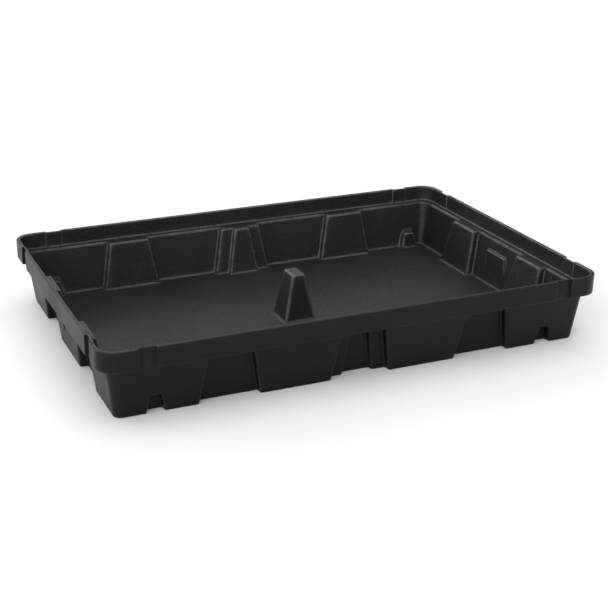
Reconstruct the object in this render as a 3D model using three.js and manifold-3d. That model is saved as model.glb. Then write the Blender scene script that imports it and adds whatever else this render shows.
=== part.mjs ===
// Moulded spill containment tray: an open sump with stepped, tapering walls of even thickness (thinner
// behind the hand grips), a thicker upright rim, a ledge that carries a deck, and a hollow centre post
// that props the deck.
// Millimetres, +Z up, +X along the length, origin at the middle of the resting face.
// The moulding is divided into floor, walls, ledges, rim and post so each region can be used by name.

import * as THREE from "three";
import Module from "manifold-3d";

const wasm = await Module();
wasm.setup();

// ---------------------------------------------------------------- driving dimensions

const LENGTH = 1200;
const WIDTH = 800;
const HEIGHT = 165;
const WALL = 5.5;
const SEAM = 0.3;

const LEDGE_TOP = 125;
const LEDGE_UNDERSIDE = LEDGE_TOP - WALL;
const CORNER_STEPS = 8;

// Inset of the outer wall face from the rim's outer face, at the foot and just under the ledge.
const SIDE_INSET = { foot: 38, top: 22.5 };
const END_INSET = { foot: 37, top: 21.5 };
const WALL_CORNER_RADIUS = { foot: 17, top: 27 };
const RIM_CORNER_RADIUS = 45;

const BAY_DEPTH = 18;
const GROOVE_DEPTH = 31;

const NOTCH = { footWidth: 40, topWidth: 23, height: 42, depth: 17 };
const FRONT_NOTCH_OFFSET = 475;
const REAR_NOTCH_OFFSET = 512;

// The wall behind a hand grip is pressed thin, so the grip shows less inside than outside.
const GRIP = { centre: -13, width: 74, bottom: 43, top: 88, depth: 9, skin: 2 };

const POST = { footLength: 80, footWidth: 80, topLength: 33, topWidth: 54, top: 121 };

// Where the long and short walls hand over to the rounded corners.
const CORNER_X = 420;
const CORNER_Y = 329;

// ---------------------------------------------------------------- bays pressed into the walls

// A bay runs between two edges; each edge has its own place at the foot and under the ledge.
function bay(footFrom, footTo, topFrom, topTo, depth) {
  return { from: { foot: footFrom, top: topFrom }, to: { foot: footTo, top: topTo }, depth };
}

function centredBay(centre, topHalf, flare, depth) {
  const footHalf = topHalf + flare;
  return bay(centre - footHalf, centre + footHalf, centre - topHalf, centre + topHalf, depth);
}

const WIDE_BAY = { offset: 308.5, topHalf: 47.5, flare: 22 };
const MIDDLE_BAY = { topHalf: 49, flare: 22 };
const GROOVE = { topHalf: 16, flare: 20 };

const middleBay = centredBay(0, MIDDLE_BAY.topHalf, MIDDLE_BAY.flare, BAY_DEPTH);
middleBay.inner = centredBay(0, GROOVE.topHalf, GROOVE.flare, GROOVE_DEPTH);

const SIDE_BAYS = [
  centredBay(-WIDE_BAY.offset, WIDE_BAY.topHalf, WIDE_BAY.flare, BAY_DEPTH),
  middleBay,
  centredBay(WIDE_BAY.offset, WIDE_BAY.topHalf, WIDE_BAY.flare, BAY_DEPTH),
];

const END_BAYS = [bay(-216, -86, -212, -119, BAY_DEPTH), bay(86, 217, 90, 184, BAY_DEPTH)];

// The rim is a thick upright band. Near every corner it is set back, further outside than inside.
const RIM_WALL = 9;
const RIM_OUTSIDE = { inset: 0, setbackHalf: 19, setbackDepth: 6.5 };
const RIM_INSIDE = { inset: RIM_WALL, setbackHalf: 21, setbackDepth: 1.5 };
const LEDGE_OUTER_EDGE = { ...RIM_INSIDE, inset: RIM_WALL + SEAM };

const SETBACK_CENTRES = {
  front: [-498, 498],
  rear: [-498, 498],
  right: [-282, 305],
  left: [-305, 282],
};

function mirrored(bays) {
  const flip = (edge) => ({ foot: -edge.foot, top: -edge.top });
  return bays.map((item) => ({
    from: flip(item.to),
    to: flip(item.from),
    depth: item.depth,
    inner: item.inner ? mirrored([item.inner])[0] : undefined,
  })).reverse();
}

// ---------------------------------------------------------------- plan outlines

// Blend of a foot value and a top value at height z.
function atHeight(pair, z) {
  return pair.foot + (pair.top - pair.foot) * (z / LEDGE_UNDERSIDE);
}

// One side seen from above, walked in the direction of travel: [along, inward] pairs.
// `grow` moves the outline inwards by a wall thickness, which widens every bay by the same amount.
function bayPoints(bays, baseDepth, z, grow) {
  const points = [];
  for (const item of bays) {
    const from = atHeight(item.from, z) - grow;
    const to = atHeight(item.to, z) + grow;
    points.push([from, baseDepth], [from, item.depth]);
    if (item.inner) {
      points.push(...bayPoints([item.inner], item.depth, z, grow));
    }
    points.push([to, item.depth], [to, baseDepth]);
  }
  return points;
}

// Counter-clockwise outline of a rounded rectangle whose four sides carry bays.
function outline({ insets, radius, bays, z, grow }) {
  const halfX = LENGTH / 2 - insets.end - grow;
  const halfY = WIDTH / 2 - insets.side - grow;
  const arc = radius - grow;
  const sides = [
    { half: halfX, reach: halfY, bays: bays.front, turn: 0 },
    { half: halfY, reach: halfX, bays: bays.right, turn: 1 },
    { half: halfX, reach: halfY, bays: mirrored(bays.rear), turn: 2 },
    { half: halfY, reach: halfX, bays: mirrored(bays.left), turn: 3 },
  ];
  const loop = [];
  for (const side of sides) {
    const angle = side.turn * Math.PI / 2;
    const place = (along, inward) => loop.push(new THREE.Vector2(along, inward - side.reach)
      .rotateAround(new THREE.Vector2(), angle));
    for (const [along, depth] of bayPoints(side.bays, 0, z, grow)) {
      place(along, depth);
    }
    for (let step = 0; step <= CORNER_STEPS; step += 1) {
      const sweep = (step / CORNER_STEPS) * Math.PI / 2;
      place(side.half - arc + arc * Math.sin(sweep), arc - arc * Math.cos(sweep));
    }
  }
  return loop;
}

function wallOutline(z, grow) {
  const insets = { side: atHeight(SIDE_INSET, z), end: atHeight(END_INSET, z) };
  const bays = { front: SIDE_BAYS, rear: SIDE_BAYS, left: END_BAYS, right: END_BAYS };
  return outline({ insets, radius: atHeight(WALL_CORNER_RADIUS, z), bays, z, grow });
}

function rimOutline({ inset, setbackHalf, setbackDepth }) {
  const setback = (centre) => centredBay(centre, setbackHalf, 0, setbackDepth);
  const bays = Object.fromEntries(
    Object.entries(SETBACK_CENTRES).map(([side, centres]) => [side, centres.map(setback)]),
  );
  const radius = RIM_CORNER_RADIUS - inset;
  return outline({ insets: { side: inset, end: inset }, radius, bays, z: 0, grow: 0 });
}

// ---------------------------------------------------------------- solids

function toSolid(positions, triangles) {
  return new wasm.Manifold(new wasm.Mesh({
    numProp: 3,
    vertProperties: new Float32Array(positions),
    triVerts: new Uint32Array(triangles),
  }));
}

// Closed solid between two outlines with matching points.
function loft(lower, upper, zLower, zUpper) {
  const count = lower.length;
  const positions = [];
  lower.forEach((point) => positions.push(point.x, point.y, zLower));
  upper.forEach((point) => positions.push(point.x, point.y, zUpper));
  const triangles = [];
  for (let index = 0; index < count; index += 1) {
    const next = (index + 1) % count;
    triangles.push(index, next, count + next, index, count + next, count + index);
  }
  for (const [a, b, c] of THREE.ShapeUtils.triangulateShape(lower, [])) {
    triangles.push(a, c, b);
  }
  for (const [a, b, c] of THREE.ShapeUtils.triangulateShape(upper, [])) {
    triangles.push(count + a, count + b, count + c);
  }
  return toSolid(positions, triangles);
}

function rectangle(x0, x1, y0, y1) {
  return [[x0, y0], [x1, y0], [x1, y1], [x0, y1]].map(([x, y]) => new THREE.Vector2(x, y));
}

function block(x0, x1, y0, y1, z0, z1) {
  return loft(rectangle(x0, x1, y0, y1), rectangle(x0, x1, y0, y1), z0, z1);
}

function wallLoft(z0, z1, grow) {
  return loft(wallOutline(z0, grow), wallOutline(z1, grow), z0, z1);
}

function rimPrism(z0, z1, face) {
  return loft(rimOutline(face), rimOutline(face), z0, z1);
}

// Tapered block pushed into the foot of a long wall; `grow` makes the skin around it.
function footNotch(centre, towardRear, grow) {
  const face = WIDTH / 2 - SIDE_INSET.foot;
  const near = face - NOTCH.depth - grow;
  const far = WIDTH / 2;
  const footHalf = NOTCH.footWidth / 2 + grow;
  const topHalf = NOTCH.topWidth / 2 + grow;
  const [y0, y1] = towardRear ? [near, far] : [-far, -near];
  const lower = rectangle(centre - footHalf, centre + footHalf, y0, y1);
  const upper = rectangle(centre - topHalf, centre + topHalf, y0, y1);
  return loft(lower, upper, 0, NOTCH.height + grow);
}

function footNotches(grow) {
  return footNotch(-FRONT_NOTCH_OFFSET, false, grow)
    .add(footNotch(FRONT_NOTCH_OFFSET, false, grow))
    .add(footNotch(-REAR_NOTCH_OFFSET, true, grow))
    .add(footNotch(REAR_NOTCH_OFFSET, true, grow));
}

// Wedge-shaped hand grip, deepest at its roof, pressed into an end wall. `grow` makes the skin
// around it and `skin` the skin behind its deepest edge.
function handGrip(endSign, grow, skin) {
  const face = (z) => LENGTH / 2 - atHeight(END_INSET, z);
  const half = GRIP.width / 2 + grow;
  const [y0, y1] = [GRIP.centre - half, GRIP.centre + half];
  const strip = (x) => {
    const [x0, x1] = endSign > 0 ? [x, LENGTH / 2] : [-LENGTH / 2, -x];
    return rectangle(x0, x1, y0, y1);
  };
  const bottom = GRIP.bottom - grow;
  const roof = GRIP.top + grow;
  return loft(strip(face(bottom) - grow), strip(face(roof) - GRIP.depth - skin), bottom, roof);
}

function handGrips(grow, skin) {
  return handGrip(1, grow, skin).add(handGrip(-1, grow, skin));
}

// Square post tapering upwards; `shrink` gives the hollow inside it.
function postCore(z0, z1, shrink) {
  const taper = (foot, top, z) => foot + (top - foot) * ((z - WALL) / (POST.top - WALL));
  const section = (z) => {
    const halfX = taper(POST.footLength, POST.topLength, z) / 2 - shrink;
    const halfY = taper(POST.footWidth, POST.topWidth, z) / 2 - shrink;
    return rectangle(-halfX, halfX, -halfY, halfY);
  };
  return loft(section(z0), section(z1), z0, z1);
}

// ---------------------------------------------------------------- the moulding

function moulding() {
  const outside = wallLoft(0, LEDGE_UNDERSIDE, 0)
    .add(rimPrism(LEDGE_UNDERSIDE, HEIGHT, RIM_OUTSIDE))
    .subtract(footNotches(0))
    .subtract(handGrips(0, 0))
    .subtract(postCore(0, POST.top - WALL, WALL));
  const inside = wallLoft(WALL, LEDGE_TOP, WALL)
    .subtract(footNotches(WALL))
    .subtract(handGrips(WALL, GRIP.skin))
    .subtract(postCore(WALL, POST.top, 0))
    .add(rimPrism(LEDGE_TOP, HEIGHT, RIM_INSIDE));
  return outside.subtract(inside);
}

// ---------------------------------------------------------------- named regions

const COLOURS = {
  floor: 0x1b1c1e,
  post: 0x1d1e20,
  wall: 0x18191b,
  ledge: 0x222325,
  rim: 0x1f2022,
};

function toMesh(name, solid, kind) {
  const { vertProperties, triVerts } = solid.getMesh();
  const indexed = new THREE.BufferGeometry();
  indexed.setAttribute("position", new THREE.BufferAttribute(new Float32Array(vertProperties), 3));
  indexed.setIndex(new THREE.BufferAttribute(new Uint32Array(triVerts), 1));
  const geometry = indexed.toNonIndexed();
  geometry.computeVertexNormals();
  const material = new THREE.MeshStandardMaterial({
    color: COLOURS[kind],
    roughness: 0.55,
    metalness: 0,
  });
  const mesh = new THREE.Mesh(geometry, material);
  mesh.name = name;
  return mesh;
}

// How far in from the rim's outer face the perimeter regions reach.
const PERIMETER_REACH = 110;

// The eight plan regions of the perimeter: four straights and four corners.
function perimeterRegions() {
  const gap = SEAM / 2;
  const [outX, outY] = [LENGTH / 2, WIDTH / 2];
  const [farX, nearX] = [CORNER_X + gap, CORNER_X - gap];
  const [farY, nearY] = [CORNER_Y + gap, CORNER_Y - gap];
  return {
    front: [-nearX, nearX, -outY, PERIMETER_REACH - outY],
    rear: [-nearX, nearX, outY - PERIMETER_REACH, outY],
    left: [-outX, PERIMETER_REACH - outX, -nearY, nearY],
    right: [outX - PERIMETER_REACH, outX, -nearY, nearY],
    front_left: [-outX, -farX, -outY, -farY],
    front_right: [farX, outX, -outY, -farY],
    rear_left: [-outX, -farX, farY, outY],
    rear_right: [farX, outX, farY, outY],
  };
}

// The walls, the ledge that runs inside the rim, and the rim, which reaches down past the ledge's edge.
function layers(body) {
  return [
    { kind: "wall", solid: body, z0: WALL + SEAM, z1: LEDGE_UNDERSIDE - SEAM },
    {
      kind: "ledge",
      solid: body.intersect(rimPrism(LEDGE_UNDERSIDE, LEDGE_TOP, LEDGE_OUTER_EDGE)),
      z0: LEDGE_UNDERSIDE,
      z1: LEDGE_TOP,
    },
    {
      kind: "rim",
      solid: body.subtract(rimPrism(0, HEIGHT, RIM_INSIDE)),
      z0: LEDGE_UNDERSIDE,
      z1: HEIGHT,
    },
  ];
}

// Half-side of the plan square that holds the centre post and none of the perimeter.
const POST_REACH = 60;

function build() {
  const body = moulding();
  const postBox = block(-POST_REACH, POST_REACH, -POST_REACH, POST_REACH, WALL + SEAM, HEIGHT);
  const group = new THREE.Group();
  group.name = "spill_containment_pallet";

  const floor = body.intersect(block(-LENGTH / 2, LENGTH / 2, -WIDTH / 2, WIDTH / 2, 0, WALL));
  group.add(toMesh("floor_panel", floor, "floor"));
  group.add(toMesh("centre_post", body.intersect(postBox), "post"));

  for (const { kind, solid, z0, z1 } of layers(body)) {
    for (const [place, [x0, x1, y0, y1]] of Object.entries(perimeterRegions())) {
      const region = solid.intersect(block(x0, x1, y0, y1, z0, z1));
      group.add(toMesh(`${kind}_${place}`, region, kind));
    }
  }
  return group;
}

export default build();
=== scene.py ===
import math

import bpy
import numpy as np
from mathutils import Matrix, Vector, geometry


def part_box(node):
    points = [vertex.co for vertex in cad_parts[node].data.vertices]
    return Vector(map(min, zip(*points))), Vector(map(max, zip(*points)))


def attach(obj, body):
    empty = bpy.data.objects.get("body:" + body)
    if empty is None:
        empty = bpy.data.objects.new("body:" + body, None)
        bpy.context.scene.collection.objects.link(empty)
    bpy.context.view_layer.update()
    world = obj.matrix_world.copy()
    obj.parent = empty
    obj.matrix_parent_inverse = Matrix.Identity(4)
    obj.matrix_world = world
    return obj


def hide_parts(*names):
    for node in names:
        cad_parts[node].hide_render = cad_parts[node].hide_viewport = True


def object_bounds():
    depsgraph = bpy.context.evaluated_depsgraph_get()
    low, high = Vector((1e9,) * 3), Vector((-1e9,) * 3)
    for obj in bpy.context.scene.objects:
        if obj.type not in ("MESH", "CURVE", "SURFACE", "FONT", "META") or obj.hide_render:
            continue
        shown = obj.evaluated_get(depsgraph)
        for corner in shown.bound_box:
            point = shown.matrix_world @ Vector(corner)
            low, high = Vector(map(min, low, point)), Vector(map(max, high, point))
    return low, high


# Moulded spill containment tray. Shapes are worked out in millimetres in the frame of the CAD model,
# with +Z up and the origin at the middle of the resting face, and turned into metres as meshes are made.

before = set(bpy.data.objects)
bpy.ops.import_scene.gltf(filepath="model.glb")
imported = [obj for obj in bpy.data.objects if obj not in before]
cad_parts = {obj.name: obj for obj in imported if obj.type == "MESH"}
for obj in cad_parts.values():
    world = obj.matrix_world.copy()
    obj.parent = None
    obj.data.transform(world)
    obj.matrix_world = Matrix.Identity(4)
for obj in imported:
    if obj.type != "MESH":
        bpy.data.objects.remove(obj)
cad_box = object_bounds()

MM = 0.001
BODY = "root"


def node_box(node):
    low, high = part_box(node)
    return np.array(low) / MM, np.array(high) / MM


# ---------------------------------------------------------------- sizes that the CAD model gives

whole_low, whole_high = np.array(cad_box[0]) / MM, np.array(cad_box[1]) / MM
LENGTH, WIDTH, HEIGHT = (round(float(size), 1) for size in whole_high - whole_low)
FLOOR_TOP = round(float(node_box("floor_panel")[1][2]), 1)
LEDGE_UNDERSIDE = round(float(node_box("ledge_front")[0][2]), 1)
LEDGE_TOP = round(float(node_box("ledge_front")[1][2]), 1)
CORNER_X = round(float(node_box("wall_front")[1][0]))
CORNER_Y = round(float(node_box("wall_right")[1][1]))
POST_TOP = round(float(node_box("centre_post")[1][2]), 1)
WALL = FLOOR_TOP

# ---------------------------------------------------------------- the rest of the shape

# Inset of the outer wall face from the rim's outer face, at the foot and just under the ledge.
SIDE_INSET = (38, 22.5)
END_INSET = (37, 21.5)
WALL_CORNER_RADIUS = (17, 27)
RIM_CORNER_RADIUS = 45
CORNER_STEPS = 14

BAY_DEPTH = 18
GROOVE_DEPTH = 31
WIDE_BAY = {"centre": 308.5, "half": 47.5, "flare": 22}
MIDDLE_BAY = {"half": 49, "flare": 22}
GROOVE = {"half": 16, "flare": 20}

# Bays of the end walls: edges at the foot, then edges under the ledge.
END_BAY_FRONT = (-216, -86, -212, -119)
END_BAY_REAR = (86, 217, 90, 184)

NOTCH = {"foot_half": 20, "top_half": 11.5, "height": 42, "depth": 17, "corner": 4}
FRONT_NOTCH_OFFSET = 475
REAR_NOTCH_OFFSET = 512
GRIP = {"centre": -13, "half": 37, "bottom": 43, "top": 88, "depth": 9, "skin": 2}
POST_FOOT = (80, 80)
POST_CAP = (33, 54)

# The rim is thicker than the walls, and its set-backs are deeper outside than inside.
RIM_WALL = 9
SETBACK_OUTSIDE = {"half": 19, "depth": 6.5}
SETBACK_INSIDE = {"half": 21, "depth": 1.5}
SIDE_SETBACKS = (-498, 498)
END_SETBACKS = (-282, 305)

# Small round moulding marks on the front set-backs: (x, z), and the raised ring that each one is.
MARKS = [(-497, 131), (493, 128)]
MARK_REACH = 7
MARK_RING = {"radius": 3.4, "softness": 0.9, "height": 0.7}

# Fillet radii.
FLOOR_FILLET = 4.5
LEDGE_EDGE = 5
RIM_FOOT_FILLET = 3
RIM_TOP_ROUND = 1.8
RIM_BOTTOM_ROUND = 1.2
OVERHANG_FILLET = 4
FOOT_ROUND = 2
POST_FILLET = 6
POST_TOP_ROUND = 4
LIP_ROUND = 3.5
ROOT_ROUND = 5
MIN_RADIUS = 0.8
ARC_STEPS = 4

# How much each millimetre of wall thickness softens a shape on its way to the inner face.
SKIN_SOFTENING = 0.35

# Height over which the roof of a notch or a grip turns, at the outer face.
ROOF_TURN = 2.5

# Heights between which rows lie close together, because the roof of a notch or a grip is there.
INNER_NOTCH_ROOF, INNER_GRIP_ROOF = (30, 50), (86, 98)
OUTER_GRIP_ROOF, OUTER_NOTCH_ROOF = (92, 82), (46, 26)


# ---------------------------------------------------------------- chains of points along one side

class Knot:
    """A point of a side's outline, whose place along the side may differ at the foot and at the top.

    `edge` says how far it moves along the side for each millimetre that the outline moves inwards.
    `bend` is 1 at the lip of a bay, -1 at its root, and 0 where the outline only passes through.
    """

    def __init__(self, foot, top, depth=0, edge=0, bend=0, pieces=1):
        self.foot, self.top, self.depth = foot, top, depth
        self.edge, self.bend, self.pieces = edge, bend, pieces

    def place(self, z, grow):
        along = self.foot + (self.top - self.foot) * z / LEDGE_UNDERSIDE + self.edge * grow
        return np.array((along, self.depth), float)


class Bump:
    """A local push inwards: `reach(z, grow, across)` is its depth, `half(z)` its half width."""

    crisp_round = 1.6
    lean = 1.5
    steps = 4

    def __init__(self, centre, half, depth, reach, flat_pieces, pieces):
        self.centre, self.half, self.depth, self.reach = centre, half, depth, reach
        self.flat_pieces, self.pieces = flat_pieces, pieces

    def side(self, grow):
        """Along and depth fractions of one flank, from the wall to the full depth."""
        turn = np.linspace(0, math.pi / 2, self.steps + 1)
        radius = self.crisp_round + SKIN_SOFTENING * min(max(grow, 0), WALL)
        deep = self.depth
        along = np.concatenate((radius * np.sin(turn), radius + self.lean + radius * (1 - np.cos(turn))))
        depth = np.concatenate((radius * (1 - np.cos(turn)), deep - radius + radius * np.sin(turn)))
        return along, depth / deep

    def points(self, z, grow):
        along, share = self.side(grow)
        width = along[-1]
        half = self.half(z) + grow
        left = -half - width / 2 + along
        flat = np.linspace(left[-1], -left[-1], self.flat_pieces + 1)[1:-1]
        across = np.concatenate((left, flat, -left[::-1]))
        shares = np.concatenate((share, np.ones(len(flat)), share[::-1]))
        depth = shares * self.reach(z, grow, across)
        return np.column_stack((across + self.centre, depth))


def ramp(value):
    value = np.clip(value, 0, 1)
    return value * value * (3 - 2 * value)


def roof_height(grow):
    """Height over which the roof of a notch or a grip turns from the wall to its full depth."""
    return ROOF_TURN + 2 * SKIN_SOFTENING * max(grow, 0)


def notch(centre):
    """Tapered foot notch with rounded upper corners."""

    def half(z):
        share = np.clip(z / NOTCH["height"], 0, 1)
        return NOTCH["foot_half"] + (NOTCH["top_half"] - NOTCH["foot_half"]) * share

    def reach(z, grow, across):
        corner = NOTCH["corner"] + max(grow, 0)
        beyond = np.clip(np.abs(across) - NOTCH["top_half"] - grow + corner, 0, corner)
        top = NOTCH["height"] + grow - corner + np.sqrt(corner * corner - beyond * beyond)
        return NOTCH["depth"] * ramp((top - z) / roof_height(grow) + 0.5)

    return Bump(centre, half, NOTCH["depth"], reach, 8, 6)


def hand_grip(centre):
    """Wedge-shaped pocket, deepest just under its roof."""
    def reach(z, grow, across):
        bottom, top = GRIP["bottom"] - grow, GRIP["top"] + grow
        wedge = np.clip((z - bottom) / (top - bottom), 0, 1)
        deepest = GRIP["depth"] - (WALL - GRIP["skin"]) * grow / WALL
        depth = deepest * wedge * ramp((top - z) / roof_height(grow) + 0.5)
        return depth + np.zeros(len(across))

    return Bump(centre, lambda z: GRIP["half"], GRIP["depth"], reach, 12, 8)


def bay(foot_from, foot_to, top_from, top_to, depth, base=0, inner=(), pieces=9):
    """A recess between two edges, as a list of knots."""
    span = 10 if not inner else 4
    return [
        Knot(foot_from, top_from, base, -1, 1, pieces),
        Knot(foot_from, top_from, depth, -1, -1, 3),
        *inner,
        Knot(foot_to, top_to, depth, 1, -1, span),
        Knot(foot_to, top_to, base, 1, 1, 3),
    ]


def centred_bay(centre, half, flare, depth, base=0, inner=(), pieces=9):
    foot = half + flare
    return bay(centre - foot, centre + foot, centre - half, centre + half, depth, base, inner, pieces)


def setback(centre, inwards, mark_x=None):
    """Set-back of the rim band; `inwards` runs from 0 at the outer face to 1 at the inner face."""
    half, depth = (
        SETBACK_OUTSIDE[key] + (SETBACK_INSIDE[key] - SETBACK_OUTSIDE[key]) * inwards
        for key in ("half", "depth")
    )
    start, end = centre - half, centre + half
    marked = []
    if mark_x is not None:
        marked = [
            Knot(mark_x - MARK_REACH, mark_x - MARK_REACH, depth, pieces=3),
            Knot(mark_x + MARK_REACH, mark_x + MARK_REACH, depth, pieces=18),
        ]
    return [
        Knot(start, start, 0, 0, 1, 4),
        Knot(start, start, depth, 0, -1, 2),
        *marked,
        Knot(end, end, depth, 0, -1, 4),
        Knot(end, end, 0, 0, 1, 2),
    ]


def cut(along, pieces=4):
    return Knot(along, along, pieces=pieces)


def fillet(points, bends, pieces, radii):
    """Points of an open chain with its bends rounded. The count depends only on bends and pieces."""
    count = len(points)
    starts, ends = points.copy(), points.copy()
    arcs = [None] * count
    for index in range(1, count - 1):
        if not bends[index]:
            continue
        before, here, after = points[index - 1], points[index], points[index + 1]
        into, out = here - before, after - here
        reach_in, reach_out = np.hypot(*into), np.hypot(*out)
        into, out = into / reach_in, out / reach_out
        turn = math.atan2(into[0] * out[1] - into[1] * out[0], into @ out)
        radius = max(radii[bends[index]], MIN_RADIUS)
        tangent = radius * math.tan(abs(turn) / 2)
        tangent = min(tangent, 0.49 * reach_in, 0.49 * reach_out)
        radius = tangent / math.tan(abs(turn) / 2)
        side = np.array((-into[1], into[0])) * math.copysign(1, turn)
        starts[index] = here - into * tangent
        ends[index] = here + out * tangent
        angles = np.linspace(0, abs(turn), ARC_STEPS + 1)[1:-1]
        arcs[index] = (
            starts[index] + np.outer(np.sin(angles), into) * radius
            + np.outer(1 - np.cos(angles), side) * radius
        )
    chain = [ends[0][None]]
    for index in range(1, count):
        shares = np.linspace(0, 1, pieces[index] + 1)[1:, None]
        chain.append(ends[index - 1] + (starts[index] - ends[index - 1]) * shares)
        if arcs[index] is not None:
            chain.append(arcs[index])
            chain.append(ends[index][None])
    return np.concatenate(chain)


def side_points(features, start, end, z, grow, radii):
    """(along, depth) points of one side from `start` to `end`, without the corner arcs."""
    points, bends, pieces = [np.array((start, 0.0))], [0], [0]
    for feature in features:
        if isinstance(feature, Bump):
            bump_points = feature.points(z, grow)
            points.extend(bump_points)
            bends.extend([0] * len(bump_points))
            pieces.extend([feature.pieces] + [1] * (len(bump_points) - 1))
        else:
            points.append(feature.place(z, grow))
            bends.append(feature.bend)
            pieces.append(feature.pieces)
    points.append(np.array((end, 0.0)))
    bends.append(0)
    pieces.append(2)
    return fillet(np.array(points), bends, pieces, radii)


def mirrored(features):
    """The same features walked from the other end of the side."""
    flipped = []
    for feature in reversed(features):
        if isinstance(feature, Bump):
            flipped.append(Bump(-feature.centre, feature.half, feature.depth, feature.reach,
                                feature.flat_pieces, feature.pieces))
        else:
            flipped.append(Knot(-feature.foot, -feature.top, feature.depth, -feature.edge,
                                feature.bend, feature.pieces))
    # A knot's pieces belong to the stretch before it, so they move to the knot that now follows.
    counts = [feature.pieces for feature in features]
    for feature, count in zip(flipped[1:], reversed(counts[1:])):
        feature.pieces = count
    flipped[0].pieces = features[0].pieces
    return flipped


def ring(sides, half_x, half_y, radius, z, grow, radii):
    """Counter-clockwise outline with four rounded corners."""
    loop = []
    half_x, half_y = half_x - grow, half_y - grow
    arc = radius - grow
    for turn, features in enumerate(sides):
        half, reach = (half_x, half_y) if turn % 2 == 0 else (half_y, half_x)
        chain = side_points(features, arc - half, half - arc, z, grow, radii)
        sweep = np.linspace(0, math.pi / 2, CORNER_STEPS + 1)[1:-1]
        corner = np.column_stack((half - arc + arc * np.sin(sweep), arc - arc * np.cos(sweep)))
        flat = np.concatenate((chain, corner))
        x, y = flat[:, 0], flat[:, 1] - reach
        cos, sin = round(math.cos(turn * math.pi / 2)), round(math.sin(turn * math.pi / 2))
        loop.append(np.column_stack((x * cos - y * sin, x * sin + y * cos)))
    return np.concatenate(loop)


def side_features(offset):
    """Long wall: foot notches, two wide bays and a middle bay with a groove in it."""
    groove = centred_bay(0, GROOVE["half"], GROOVE["flare"], GROOVE_DEPTH, BAY_DEPTH, (), 4)
    centre, half, flare = WIDE_BAY["centre"], WIDE_BAY["half"], WIDE_BAY["flare"]
    return [
        notch(-offset), cut(-CORNER_X),
        *centred_bay(-centre, half, flare, BAY_DEPTH),
        *centred_bay(0, MIDDLE_BAY["half"], MIDDLE_BAY["flare"], BAY_DEPTH, 0, groove),
        *centred_bay(centre, half, flare, BAY_DEPTH),
        cut(CORNER_X), notch(offset),
    ]


END_FEATURES = [
    cut(-CORNER_Y), *bay(*END_BAY_FRONT, BAY_DEPTH), hand_grip(GRIP["centre"]),
    *bay(*END_BAY_REAR, BAY_DEPTH), cut(CORNER_Y),
]

WALL_SIDES = [
    side_features(FRONT_NOTCH_OFFSET), END_FEATURES,
    mirrored(side_features(REAR_NOTCH_OFFSET)), mirrored(END_FEATURES),
]


def wall_ring(z, grow, lip, root):
    share = z / LEDGE_UNDERSIDE
    end = END_INSET[0] + (END_INSET[1] - END_INSET[0]) * share
    side = SIDE_INSET[0] + (SIDE_INSET[1] - SIDE_INSET[0]) * share
    radius = WALL_CORNER_RADIUS[0] + (WALL_CORNER_RADIUS[1] - WALL_CORNER_RADIUS[0]) * share
    return ring(WALL_SIDES, LENGTH / 2 - end, WIDTH / 2 - side, radius, z, grow, {1: lip, -1: root})


def rim_sides(inwards):
    """Features of the four sides of the rim, `inwards` of the way from its outer to its inner face."""
    def long_side(marks=(None, None)):
        return [
            *setback(SIDE_SETBACKS[0], inwards, marks[0]), cut(-CORNER_X), cut(0, 20), cut(CORNER_X, 20),
            *setback(SIDE_SETBACKS[1], inwards, marks[1]),
        ]

    end_side = [
        cut(-CORNER_Y), *setback(END_SETBACKS[0], inwards), cut(0, 16),
        *setback(END_SETBACKS[1], inwards), cut(CORNER_Y),
    ]
    return [long_side([x for x, _ in MARKS]), end_side, long_side(), end_side]


def rim_ring(grow):
    flat_top = RIM_WALL - 2 * RIM_TOP_ROUND
    inwards = min(max((grow - RIM_TOP_ROUND) / flat_top, 0), 1)
    radii = {1: 2.2 - 0.8 * inwards, -1: 1.4 + 0.8 * inwards}
    return ring(rim_sides(inwards), LENGTH / 2, WIDTH / 2, RIM_CORNER_RADIUS, 0, grow, radii)


# ---------------------------------------------------------------- one shared shell of points and faces

REGIONS = ["front", "front_right", "right", "rear_right", "rear", "rear_left", "left", "front_left"]
INSIDE, OUTSIDE, SECTION = 0, 1, 2


class Shell:
    """All points of the moulding, and its faces by the piece that each belongs to."""

    def __init__(self):
        self.points = []
        self.faces = {}

    def add(self, flat, z):
        start = len(self.points)
        heights = np.broadcast_to(z, len(flat))
        self.points.extend(np.column_stack((flat, heights)))
        return np.arange(start, start + len(flat))

    def face(self, owner, finish, corners):
        self.faces.setdefault(owner, []).append((finish, tuple(int(corner) for corner in corners)))

    def strip(self, current, following, owners, finish, flip=False):
        """Closed band of quads between two rings; `owners` names the piece for every column."""
        count = len(current)
        for column in range(count):
            after = (column + 1) % count
            corners = (following[column], following[after], current[after], current[column])
            self.face(owners[column], finish, corners[::-1] if flip else corners)

    def fill(self, loops, owner, finish, up, inner_points=None):
        """Flat fill between closed loops of existing points, all at one height."""
        order = np.concatenate(loops)
        flat = [Vector(self.points[index][:2]) for index in order]
        edges, start = [], 0
        for loop in loops:
            count = len(loop)
            edges.extend((start + k, start + (k + 1) % count) for k in range(count))
            start += count
        if inner_points is not None:
            order = np.concatenate((order, inner_points))
            flat.extend(Vector(self.points[index][:2]) for index in inner_points)
        result = geometry.delaunay_2d_cdt(flat, edges, [], 0, 1e-5)
        made, triangles, sources = result[0], result[2], result[3]
        names = [order[source[0]] for source in sources]
        corners = np.array(triangles)
        places = np.array([tuple(point) for point in made])
        centres = places[corners].mean(1)
        boundary = np.array([(flat[a], flat[b]) for a, b in edges])
        keep = inside(centres, boundary)
        for triangle in corners[keep]:
            named = [names[corner] for corner in triangle]
            a, b, c = places[triangle]
            ccw = (b[0] - a[0]) * (c[1] - a[1]) - (b[1] - a[1]) * (c[0] - a[0])
            if abs(ccw) < 1e-7:
                continue
            self.face(owner, finish, named if (ccw > 0) == up else named[::-1])


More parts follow.
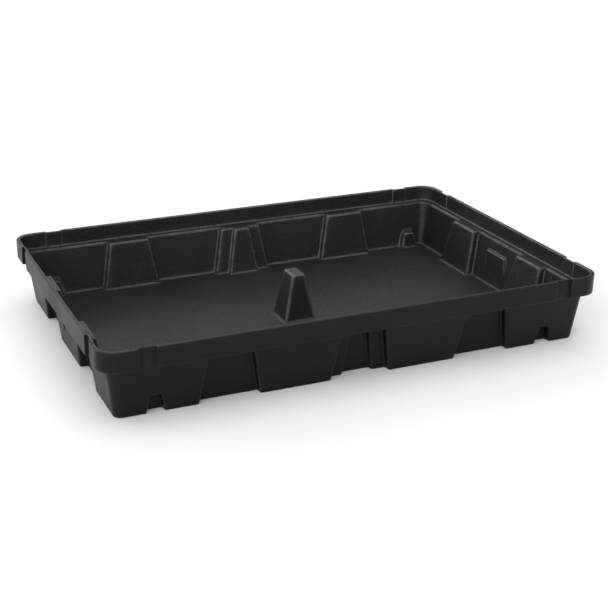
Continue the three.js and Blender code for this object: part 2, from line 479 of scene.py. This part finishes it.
def inside(points, edges):
    """Even-odd test of points against the edges of one or more loops."""
    result = np.zeros(len(points), bool)
    x, y = points[:, 0], points[:, 1]
    for (x0, y0), (x1, y1) in edges:
        crosses = (y0 > y) != (y1 > y)
        if y0 != y1:
            result ^= crosses & (x < x0 + (y - y0) * (x1 - x0) / (y1 - y0))
    return result


def arc(steps):
    return np.linspace(0, math.pi / 2, steps + 1)


def heights(*stretches):
    """Heights from stretches (from, to, count), without the first one."""
    values = []
    for low, high, count in stretches:
        values.extend(np.linspace(low, high, count + 1)[1:])
    return values


def inner_wall_rows():
    """(z, grow, lip radius, root radius) up the inside, from the floor to the ledge."""
    rows = []
    for angle in arc(5):
        out = FLOOR_FILLET * (1 - math.sin(angle))
        z = FLOOR_TOP + FLOOR_FILLET * (1 - math.cos(angle))
        rows.append((z, WALL + out, LIP_ROUND - out / 2, ROOT_ROUND + out))
    first = FLOOR_TOP + FLOOR_FILLET
    for z in heights(
        (first, INNER_NOTCH_ROOF[0], 3),
        (*INNER_NOTCH_ROOF, 16),
        (INNER_NOTCH_ROOF[1], INNER_GRIP_ROOF[0], 6),
        (*INNER_GRIP_ROOF, 12),
        (INNER_GRIP_ROOF[1], LEDGE_UNDERSIDE, 3),
    ):
        rows.append((z, WALL, LIP_ROUND, ROOT_ROUND))
    top = LEDGE_TOP - LEDGE_EDGE
    for angle in arc(6):
        back = LEDGE_EDGE * (1 - math.cos(angle))
        rows.append((top + LEDGE_EDGE * math.sin(angle), WALL - back, LIP_ROUND + back, ROOT_ROUND - back))
    return rows


def outer_wall_rows():
    """(z, grow, lip radius, root radius) down the outside, from under the ledge to the resting face.

    Seen from outside, the rounded edges that were lips inside are roots, so the two radii change places.
    """
    rows = []
    for angle in arc(4):
        out = OVERHANG_FILLET * (1 - math.sin(angle))
        z = LEDGE_UNDERSIDE - OVERHANG_FILLET * (1 - math.cos(angle))
        rows.append((z, -out, ROOT_ROUND + out, LIP_ROUND - out))
    first = LEDGE_UNDERSIDE - OVERHANG_FILLET
    for z in heights(
        (first, OUTER_GRIP_ROOF[0], 3),
        (*OUTER_GRIP_ROOF, 12),
        (OUTER_GRIP_ROOF[1], OUTER_NOTCH_ROOF[0], 6),
        (*OUTER_NOTCH_ROOF, 16),
        (OUTER_NOTCH_ROOF[1], FLOOR_TOP, 3),
    ):
        rows.append((z, 0, ROOT_ROUND, LIP_ROUND))
    for angle in arc(5):
        back = FOOT_ROUND * (1 - math.cos(angle))
        z = FOOT_ROUND - FOOT_ROUND * math.sin(angle)
        rows.append((z, back, ROOT_ROUND - back / 2, LIP_ROUND + back))
    return rows


def rim_rows():
    """(z, grow) from the ledge up the inside of the rim, over its top, down its face and under it."""
    rows = []
    for angle in arc(4):
        out = RIM_FOOT_FILLET * (1 - math.sin(angle))
        rows.append((LEDGE_TOP + RIM_FOOT_FILLET * (1 - math.cos(angle)), RIM_WALL + out))
    shoulder = HEIGHT - RIM_TOP_ROUND
    for z in heights((LEDGE_TOP + RIM_FOOT_FILLET, shoulder, 6)):
        rows.append((z, RIM_WALL))
    for angle in arc(4)[1:]:
        rows.append((shoulder + RIM_TOP_ROUND * math.sin(angle),
                     RIM_WALL - RIM_TOP_ROUND * (1 - math.cos(angle))))
    for grow in heights((RIM_WALL - RIM_TOP_ROUND, RIM_TOP_ROUND, 4))[:-1]:
        rows.append((HEIGHT, grow))
    for angle in arc(4):
        rows.append((shoulder + RIM_TOP_ROUND * math.cos(angle), RIM_TOP_ROUND * (1 - math.sin(angle))))
    last = LEDGE_UNDERSIDE + RIM_BOTTOM_ROUND
    for z in heights((shoulder, 140, 4), (140, 122.5, 20), (122.5, last, 1)):
        rows.append((z, 0))
    for angle in arc(4)[1:]:
        rows.append((last - RIM_BOTTOM_ROUND * math.sin(angle), RIM_BOTTOM_ROUND * (1 - math.cos(angle))))
    rows.append((LEDGE_UNDERSIDE, RIM_WALL + RIM_FOOT_FILLET))
    return rows


def cut_columns(flat):
    """Indices of the eight region cuts in a ring, in ring order from the front's left end."""
    wanted = [
        (-CORNER_X, -1, 0), (CORNER_X, -1, 0), (-CORNER_Y, 1, 1), (CORNER_Y, 1, 1),
        (CORNER_X, 1, 0), (-CORNER_X, 1, 0), (CORNER_Y, -1, 1), (-CORNER_Y, -1, 1),
    ]
    found = []
    for place, sign, axis in wanted:
        on_side = flat[:, 1 - axis] * sign > 0
        distance = np.where(on_side, np.abs(flat[:, axis] - place), np.inf)
        found.append(int(distance.argmin()))
    return found


def owners_by_column(cuts, count, kind):
    owners = [None] * count
    for region, start, end in zip(REGIONS, cuts, cuts[1:] + cuts[:1]):
        column = start
        while column != end:
            owners[column] = f"{kind}_{region}"
            column = (column + 1) % count
    return owners


def between(ring_indices, start, end):
    """The part of a ring from column start to column end, both included."""
    if end >= start:
        return ring_indices[start:end + 1]
    return np.concatenate((ring_indices[start:], ring_indices[:end + 1]))


def mark_relief(flat, z):
    """Raises the small round moulding marks on the front face of the rim."""
    centre_y = -WIDTH / 2 + SETBACK_OUTSIDE["depth"]
    for mark_x, mark_z in MARKS:
        near = np.abs(flat[:, 1] - centre_y) < 0.2
        distance = np.hypot(flat[:, 0] - mark_x, z - mark_z)
        bead = np.exp(-((distance - MARK_RING["radius"]) / MARK_RING["softness"]) ** 2) * MARK_RING["height"]
        flat[:, 1] -= np.where(near & (distance < MARK_REACH), bead, 0)
    return flat


def build_shell():
    shell = Shell()
    floor_name, post_name = "floor_panel", "centre_post"

    inner_rows, outer_rows = inner_wall_rows(), outer_wall_rows()
    inner = [shell.add(wall_ring(z, grow, lip, root), z) for z, grow, lip, root in inner_rows]
    outer = [shell.add(wall_ring(z, grow, lip, root), z) for z, grow, lip, root in outer_rows]
    rim_levels = rim_rows()
    rim = []
    for z, grow in rim_levels:
        flat = rim_ring(grow)
        rim.append(shell.add(mark_relief(flat, z) if grow == 0 else flat, z))

    wall_cuts = cut_columns(wall_ring(LEDGE_UNDERSIDE / 2, WALL, LIP_ROUND, ROOT_ROUND))
    rim_cuts = cut_columns(rim_ring(0))
    columns, rim_columns = len(inner[0]), len(rim[0])
    wall_owner = owners_by_column(wall_cuts, columns, "wall")
    ledge_owner = owners_by_column(wall_cuts, columns, "ledge")
    rim_owner = owners_by_column(rim_cuts, rim_columns, "rim")
    edge_owner = owners_by_column(rim_cuts, rim_columns, "ledge")
    floor_owner = [floor_name] * columns

    inner_top = next(i for i, row in enumerate(inner_rows) if abs(row[0] - LEDGE_UNDERSIDE) < 1e-6)
    outer_foot = next(i for i, row in enumerate(outer_rows) if abs(row[0] - FLOOR_TOP) < 1e-6)
    rim_crown = next(i for i, row in enumerate(rim_levels) if abs(row[0] - HEIGHT) < 1e-6)

    for i in range(len(inner) - 1):
        shell.strip(inner[i], inner[i + 1], wall_owner if i < inner_top else ledge_owner, INSIDE)
    for i in range(len(outer) - 1):
        shell.strip(outer[i], outer[i + 1], wall_owner if i < outer_foot else floor_owner, OUTSIDE)
    for i in range(len(rim) - 1):
        shell.strip(rim[i], rim[i + 1], rim_owner, INSIDE if i < rim_crown else OUTSIDE)

    # Cuts between the layers, each with one face for either piece.
    shell.strip(outer[outer_foot], inner[0], wall_owner, SECTION)
    shell.strip(outer[outer_foot], inner[0], floor_owner, SECTION, flip=True)
    shell.strip(inner[inner_top], outer[0], wall_owner, SECTION)
    shell.strip(inner[inner_top], outer[0], ledge_owner, SECTION, flip=True)
    shell.strip(rim[-1], rim[0], rim_owner, SECTION)
    shell.strip(rim[-1], rim[0], edge_owner, SECTION, flip=True)

    # Ledge top and underside, region by region.
    spans = zip(REGIONS, wall_cuts, wall_cuts[1:] + wall_cuts[:1], rim_cuts, rim_cuts[1:] + rim_cuts[:1])
    for region, wall_start, wall_end, rim_start, rim_end in spans:
        owner = f"ledge_{region}"
        top = np.concatenate((between(rim[0], rim_start, rim_end),
                              between(inner[-1], wall_start, wall_end)[::-1]))
        under = np.concatenate((between(rim[-1], rim_start, rim_end),
                                between(outer[0], wall_start, wall_end)[::-1]))
        shell.fill([top], owner, INSIDE, True)
        shell.fill([under], owner, OUTSIDE, False)

    # Upright cuts between neighbouring regions.
    for index, (wall_column, rim_column) in enumerate(zip(wall_cuts, rim_cuts)):
        after, before = REGIONS[index], REGIONS[index - 1]
        sections = {
            "wall": [r[wall_column] for r in inner[:inner_top + 1]]
            + [r[wall_column] for r in outer[:outer_foot + 1]],
            "ledge": [r[wall_column] for r in inner[inner_top:]]
            + [rim[0][rim_column], rim[-1][rim_column], outer[0][wall_column]],
            "rim": [r[rim_column] for r in rim],
        }
        for kind, loop in sections.items():
            shell.face(f"{kind}_{after}", SECTION, loop)
            shell.face(f"{kind}_{before}", SECTION, loop[::-1])

    # Post, hollow from below.
    post_rings, hollow_rings = build_post(shell, floor_name, post_name)

    # Floor, with a light lattice of points so that it can undulate a little.
    lattice = floor_lattice(shell, inner[0], post_rings[0])
    shell.fill([inner[0], post_rings[0]], floor_name, INSIDE, True, lattice)
    shell.fill([outer[-1], hollow_rings[-1]], floor_name, OUTSIDE, False)
    return shell


# ---------------------------------------------------------------- centre post

def post_ring(z, grow, radius):
    """Rounded rectangle of the post at height z; `grow` widens it."""
    share = (z - FLOOR_TOP) / (POST_TOP - FLOOR_TOP)
    half_x = (POST_FOOT[0] + (POST_CAP[0] - POST_FOOT[0]) * share) / 2 + grow
    half_y = (POST_FOOT[1] + (POST_CAP[1] - POST_FOOT[1]) * share) / 2 + grow
    radius = max(radius + grow, MIN_RADIUS)
    corners = []
    for quarter, (sign_x, sign_y) in enumerate([(1, -1), (1, 1), (-1, 1), (-1, -1)]):
        centre = np.array((sign_x * (half_x - radius), sign_y * (half_y - radius)))
        angles = np.linspace(-math.pi / 2, 0, 7) + quarter * math.pi / 2
        corners.append(centre + radius * np.column_stack((np.cos(angles), np.sin(angles))))
    loop = []
    for index, corner in enumerate(corners):
        loop.append(corner)
        start, end = corner[-1], corners[(index + 1) % 4][0]
        loop.append(start + (end - start) * np.linspace(0, 1, 7)[1:-1, None])
    return np.concatenate(loop)


def build_post(shell, floor_name, post_name):
    corner = 6
    outside = []
    for angle in arc(5):
        z = FLOOR_TOP + POST_FILLET * (1 - math.cos(angle))
        outside.append(shell.add(post_ring(z, POST_FILLET * (1 - math.sin(angle)), corner), z))
    shoulder = POST_TOP - POST_TOP_ROUND
    for z in heights((FLOOR_TOP + POST_FILLET, shoulder, 10)):
        outside.append(shell.add(post_ring(z, 0, corner), z))
    for angle in arc(5)[1:]:
        z = shoulder + POST_TOP_ROUND * math.sin(angle)
        outside.append(shell.add(post_ring(z, -POST_TOP_ROUND * (1 - math.cos(angle)), corner), z))

    mouth_round = 2.5
    hollow = []
    roof = POST_TOP - WALL
    hollow.append(shell.add(post_ring(roof, -WALL - mouth_round, corner + 2), roof))
    for z in heights((roof - mouth_round, FLOOR_TOP, 8)):
        hollow.append(shell.add(post_ring(z, -WALL, corner + 2), z))
    last_of_post = len(hollow) - 1
    for angle in arc(4):
        z = mouth_round - mouth_round * math.sin(angle)
        hollow.append(shell.add(post_ring(z, mouth_round * (1 - math.cos(angle)) - WALL, corner + 2), z))

    columns = len(outside[0])
    post_owner, floor_owner = [post_name] * columns, [floor_name] * columns
    for i in range(len(outside) - 1):
        shell.strip(outside[i], outside[i + 1], post_owner, INSIDE, flip=True)
    for i in range(len(hollow) - 1):
        shell.strip(hollow[i], hollow[i + 1], post_owner if i < last_of_post else floor_owner, OUTSIDE,
                    flip=True)
    shell.strip(hollow[last_of_post], outside[0], post_owner, SECTION, flip=True)
    shell.strip(hollow[last_of_post], outside[0], floor_owner, SECTION)
    shell.fill([outside[-1]], post_name, INSIDE, True)
    shell.fill([hollow[0]], post_name, OUTSIDE, False)
    return outside, hollow


def floor_lattice(shell, outer_ring, post_ring_indices):
    """Points spread over the floor, away from its edges, lifted by a slow undulation."""
    pitch, margin, lift = 14, 9, 0.35
    reach_x, reach_y = LENGTH / 2 - 60, WIDTH / 2 - 60
    xs = np.arange(-reach_x, reach_x, pitch)
    ys = np.arange(-reach_y, reach_y, pitch)
    flat = np.array([(x, y) for x in xs for y in ys])
    rings = [np.array([shell.points[i][:2] for i in loop]) for loop in (outer_ring, post_ring_indices)]
    edges = [(loop[i], loop[(i + 1) % len(loop)]) for loop in rings for i in range(len(loop))]
    flat = flat[inside(flat, edges)]
    border = np.concatenate(rings)
    distance = np.array([np.hypot(*(border - point).T).min() for point in flat])
    flat, distance = flat[distance > margin], distance[distance > margin]
    wave = (np.sin(flat[:, 0] / 83 + 0.7) * np.cos(flat[:, 1] / 61)
            + 0.6 * np.sin(flat[:, 0] / 37 - flat[:, 1] / 49 + 1.9))
    z = FLOOR_TOP - 0.2 + lift * wave * ramp(distance / 60)
    return shell.add(flat, np.minimum(z, FLOOR_TOP + lift))


# ---------------------------------------------------------------- shading data for the whole shell

def triangles_of(corners):
    return [(corners[0], corners[i], corners[i + 1]) for i in range(1, len(corners) - 1)]


def shell_normals(shell, points):
    """Area-weighted normals of the visible skin, shared by all pieces so that no joint shows."""
    skin = [t for faces in shell.faces.values() for finish, corners in faces if finish != SECTION
            for t in triangles_of(corners)]
    skin = np.array(skin)
    a, b, c = (points[skin[:, i]] for i in range(3))
    weighted = np.cross(b - a, c - a)
    normals = np.zeros_like(points)
    for i in range(3):
        np.add.at(normals, skin[:, i], weighted)
    length = np.linalg.norm(normals, axis=1, keepdims=True)
    return normals / np.maximum(length, 1e-12), skin


# Edges shorter than this are treated as this long, and a bend is full when it is one over its gain.
SHORTEST_STEP_SQUARED = 0.04
BEND_GAIN = 4

# A face turns enough to count as an edge when its normals differ by one over this.
FULL_BEND_TURN = 9


def shell_bend(points, normals, skin):
    """How sharply the skin turns at each point: 1 on an outside edge, 0 on a flat, -1 in a tight corner."""
    total, weight = np.zeros(len(points)), np.zeros(len(points))
    for first, second in ((0, 1), (1, 2), (2, 0)):
        for start, end in ((skin[:, first], skin[:, second]), (skin[:, second], skin[:, first])):
            step = points[end] - points[start]
            squared = np.maximum((step * step).sum(1), SHORTEST_STEP_SQUARED)
            bend = ((normals[end] - normals[start]) * step).sum(1) / squared
            share = 1 / np.sqrt(squared)
            np.add.at(total, start, bend * share)
            np.add.at(weight, start, share)
    return np.clip(total / np.maximum(weight, 1e-9) * BEND_GAIN, -1, 1)


# ---------------------------------------------------------------- materials

class Nodes:
    """Small helper that adds and wires shader nodes."""

    def __init__(self, name):
        self.material = bpy.data.materials.new(name)
        self.material.use_nodes = True
        self.tree = self.material.node_tree
        self.tree.nodes.clear()
        self.output = self.tree.nodes.new("ShaderNodeOutputMaterial")
        self.shader = self.tree.nodes.new("ShaderNodeBsdfPrincipled")
        self.link(self.shader.outputs[0], self.output.inputs["Surface"])
        self.place = self.tree.nodes.new("ShaderNodeTexCoord").outputs["Object"]

    def link(self, source, target):
        self.tree.links.new(source, target)

    def noise(self, scale, detail=4, roughness=0.5):
        node = self.tree.nodes.new("ShaderNodeTexNoise")
        node.inputs["Scale"].default_value = scale
        node.inputs["Detail"].default_value = detail
        node.inputs["Roughness"].default_value = roughness
        self.link(self.place, node.inputs["Vector"])
        return node.outputs["Fac"]

    def cells(self, scale):
        node = self.tree.nodes.new("ShaderNodeTexVoronoi")
        node.feature = "SMOOTH_F1"
        node.inputs["Scale"].default_value = scale
        self.link(self.place, node.inputs["Vector"])
        return node.outputs["Distance"]

    def spread(self, value, low, high, to_low=0.0, to_high=1.0):
        node = self.tree.nodes.new("ShaderNodeMapRange")
        node.inputs["From Min"].default_value = low
        node.inputs["From Max"].default_value = high
        node.inputs["To Min"].default_value = to_low
        node.inputs["To Max"].default_value = to_high
        self.link(value, node.inputs["Value"])
        return node.outputs["Result"]

    def math(self, operation, first, second):
        node = self.tree.nodes.new("ShaderNodeMath")
        node.operation = operation
        for socket, value in zip(node.inputs, (first, second)):
            if isinstance(value, (int, float)):
                socket.default_value = value
            else:
                self.link(value, socket)
        return node.outputs[0]

    def mix(self, share, first, second):
        node = self.tree.nodes.new("ShaderNodeMix")
        node.data_type = "RGBA"
        self.link(share, node.inputs[0])
        for socket, value in zip((node.inputs[6], node.inputs[7]), (first, second)):
            if isinstance(value, tuple):
                socket.default_value = (*value, 1)
            else:
                self.link(value, socket)
        return node.outputs[2]

    def attribute(self, name):
        node = self.tree.nodes.new("ShaderNodeAttribute")
        node.attribute_name = name
        return node.outputs["Fac"]

    def bump(self, height, strength, distance, below=None):
        node = self.tree.nodes.new("ShaderNodeBump")
        node.inputs["Strength"].default_value = strength
        node.inputs["Distance"].default_value = distance
        self.link(height, node.inputs["Height"])
        if below is not None:
            self.link(below, node.inputs["Normal"])
        return node.outputs["Normal"]


def plastic(name, dark, light, worn_and_highlight, roughness, grain_height, specular, glint_strength):
    """Black plastic: mottled colour, edges lightened as scuffs and painted highlight, creases lightened as
    painted highlight, light specks as painted glints, and a grain `grain_height` metres deep.
    """
    n = Nodes(name)
    bend = n.attribute("bend")
    # Convex edges are lightened towards the worn colour: partly real edge wear, partly a painted highlight
    # where rounded edges catch the light.
    edge_wear_and_highlight = n.spread(bend, 0, 1)
    # Concave creases are lightened as well: a painted highlight on the fillets.
    crease = n.spread(bend, 0, -0.8)
    cloud = n.spread(n.noise(5, 5, 0.6), 0.35, 0.65)
    # Sparse light specks of the worn colour: painted glints of the grain.
    glint_speck = n.spread(n.noise(400, 2, 0.6), 0.60, 0.72)
    # Noise breaks the edge lightening into scuffs; it stays partly painted highlight.
    scuff_and_highlight = n.math("MULTIPLY", edge_wear_and_highlight, n.spread(n.noise(45, 6, 0.7), 0.35, 0.6, 0.35, 1.0))
    base = n.mix(cloud, dark, light)
    # Painted highlight in the creases, broken up by noise.
    painted_crease_highlight = n.math("MULTIPLY", crease, n.spread(n.noise(120, 4, 0.7), 0.3, 0.6, 0.15, 0.6))
    # Specks and creases are lightened towards the worn colour: painted glints and painted highlight.
    glints_and_highlights = n.mix(n.math("MAXIMUM", n.math("MULTIPLY", glint_speck, glint_strength), painted_crease_highlight), base, worn_and_highlight)
    n.link(n.mix(scuff_and_highlight, glints_and_highlights, worn_and_highlight), n.shader.inputs["Base Color"])

    patches = n.spread(n.noise(9, 4, 0.6), 0.3, 0.7, roughness - 0.05, roughness + 0.06)
    n.link(n.math("SUBTRACT", patches, n.math("MULTIPLY", edge_wear_and_highlight, 0.1)), n.shader.inputs["Roughness"])
    n.shader.inputs["Specular IOR Level"].default_value = specular

    pebbles = n.cells(330)
    fine = n.noise(760, 3, 0.6)
    grain = n.math("ADD", pebbles, n.math("MULTIPLY", fine, 0.6))
    slow = n.bump(n.noise(14, 2, 0.5), 0.25, 0.0012)
    n.link(n.bump(grain, 1.0, grain_height, slow), n.shader.inputs["Normal"])
    return n.material


def make_materials():
    inside_skin = plastic(
        "grained_black_plastic",
        dark=(0.008, 0.008, 0.0085), light=(0.014, 0.014, 0.0145), worn_and_highlight=(0.125, 0.125, 0.127),
        roughness=0.40, grain_height=0.0010, specular=0.34, glint_strength=0.35,
    )
    # The same plastic as the inside skin, given a darker colour: painted shade on the outer walls.
    shaded_outside_skin = plastic(
        "satin_black_plastic_painted_shade",
        dark=(0.0022, 0.0022, 0.0024), light=(0.0036, 0.0036, 0.0039), worn_and_highlight=(0.014, 0.014, 0.015),
        roughness=0.42, grain_height=0.00006, specular=0.19, glint_strength=0.25,
    )
    section_skin = plastic(
        "cut_black_plastic",
        dark=(0.004, 0.004, 0.0045), light=(0.007, 0.007, 0.0075), worn_and_highlight=(0.014, 0.014, 0.015),
        roughness=0.55, grain_height=0.00005, specular=0.20, glint_strength=0.20,
    )
    return [inside_skin, shaded_outside_skin, section_skin]


# ---------------------------------------------------------------- pieces

def make_piece(name, faces, points, normals, bend, materials):
    used = sorted({corner for _, corners in faces for corner in corners})
    local = {corner: index for index, corner in enumerate(used)}
    mesh = bpy.data.meshes.new(f"{name}_mesh")
    mesh.from_pydata(
        [tuple(points[corner] * MM) for corner in used], [],
        [[local[corner] for corner in corners] for _, corners in faces],
    )
    for material in materials:
        mesh.materials.append(material)
    mesh.polygons.foreach_set("material_index", [finish for finish, _ in faces])
    mesh.polygons.foreach_set("use_smooth", [finish != SECTION for finish, _ in faces])
    mesh.update()
    loop_normals, loop_bends = [], []
    for polygon, (finish, corners) in zip(mesh.polygons, faces):
        if finish == SECTION:
            loop_normals.extend([tuple(polygon.normal)] * len(corners))
            loop_bends.extend([0.0] * len(corners))
            continue
        around = normals[list(corners)]
        turn = np.abs(around - around.mean(0)).max()
        loop_normals.extend(tuple(normal) for normal in around)
        loop_bends.extend(bend[list(corners)] * min(turn * FULL_BEND_TURN, 1))
    values = mesh.attributes.new("bend", "FLOAT", "CORNER")
    values.data.foreach_set("value", np.array(loop_bends, np.float32))
    mesh.normals_split_custom_set(loop_normals)
    piece = bpy.data.objects.new(name, mesh)
    bpy.context.collection.objects.link(piece)
    return piece


def make_tray():
    shell = build_shell()
    points = np.array(shell.points)
    normals, skin = shell_normals(shell, points)
    bend = shell_bend(points, normals, skin)
    materials = make_materials()
    for node, faces in shell.faces.items():
        piece = make_piece(f"moulded_{node}", faces, points, normals, bend, materials)
        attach(piece, BODY)
        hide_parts(node)


# ---------------------------------------------------------------- studio

FLOOR_REACH = 9.0
FLOOR_DROP = 0.0005

# Name, direction from the object to the light, strength, and spread in degrees.
SUNS = [
    ("front_left_light", (-0.35, -0.85, 0.45), 1.0, 40),
    ("left_low_light", (-0.85, -0.42, 0.20), 0.80, 40),
    ("left_light", (-0.85, -0.42, 0.60), 0.45, 40),
    ("rear_light", (0.0, 0.9, 0.45), 0.42, 40),
    ("rear_left_light", (-0.7, 0.7, 0.45), 0.50, 40),
    ("top_light", (0.1, 0.1, 1.0), 0.93, 60),
]
WORLD_STRENGTH = 0.52

# Camera place in metres and angles in degrees; the shift sets the tray where the photograph has it.
CAMERA_PLACE = (-1.15609, -2.56508, 1.1689)
CAMERA_YAW = 22.21
CAMERA_PITCH = 22.23
CAMERA_LENS = 73.08
CAMERA_SHIFT = (0.0839, 0.0098)


def make_floor():
    left, right, front, back = -FLOOR_REACH, FLOOR_REACH, -FLOOR_REACH, FLOOR_REACH * 2
    mesh = bpy.data.meshes.new("studio_floor_mesh")
    corners = [(left, front, 0), (right, front, 0), (right, back, 0), (left, back, 0)]
    mesh.from_pydata(corners, [], [(0, 1, 2, 3)])
    n = Nodes("studio_floor_paint")
    tone = n.spread(n.noise(3, 3, 0.5), 0.3, 0.7)
    n.link(n.mix(tone, (0.90, 0.90, 0.90), (0.93, 0.93, 0.93)), n.shader.inputs["Base Color"])
    n.shader.inputs["Roughness"].default_value = 0.9
    mesh.materials.append(n.material)
    floor = bpy.data.objects.new("studio_floor", mesh)
    floor.location.z = -FLOOR_DROP
    bpy.context.collection.objects.link(floor)


def make_sun(name, direction, strength, spread):
    """Soft light from far away; `direction` points from the object to the light."""
    light = bpy.data.lights.new(name, "SUN")
    light.energy = strength
    light.angle = math.radians(spread)
    lamp = bpy.data.objects.new(name, light)
    lamp.rotation_euler = Vector(direction).to_track_quat("Z", "Y").to_euler()
    bpy.context.collection.objects.link(lamp)


def make_world():
    world = bpy.data.worlds.new("studio_world")
    world.use_nodes = True
    background = world.node_tree.nodes["Background"]
    background.inputs["Color"].default_value = (1.0, 1.0, 1.0, 1)
    background.inputs["Strength"].default_value = WORLD_STRENGTH
    bpy.context.scene.world = world
    bpy.context.scene.view_settings.view_transform = "Standard"


def make_camera():
    """Camera at the photograph's viewing angle."""
    yaw, pitch = math.radians(CAMERA_YAW), math.radians(CAMERA_PITCH)
    camera_data = bpy.data.cameras.new("photo_camera")
    camera_data.sensor_width = 36
    camera_data.lens = CAMERA_LENS
    camera_data.shift_x, camera_data.shift_y = CAMERA_SHIFT
    camera_data.clip_end = 100
    camera = bpy.data.objects.new("photo_camera", camera_data)
    camera.location = CAMERA_PLACE
    camera.rotation_euler = (math.pi / 2 - pitch, 0, -yaw)
    bpy.context.collection.objects.link(camera)
    bpy.context.scene.camera = camera


make_camera()
make_tray()
make_floor()
for sun in SUNS:
    make_sun(*sun)
make_world()
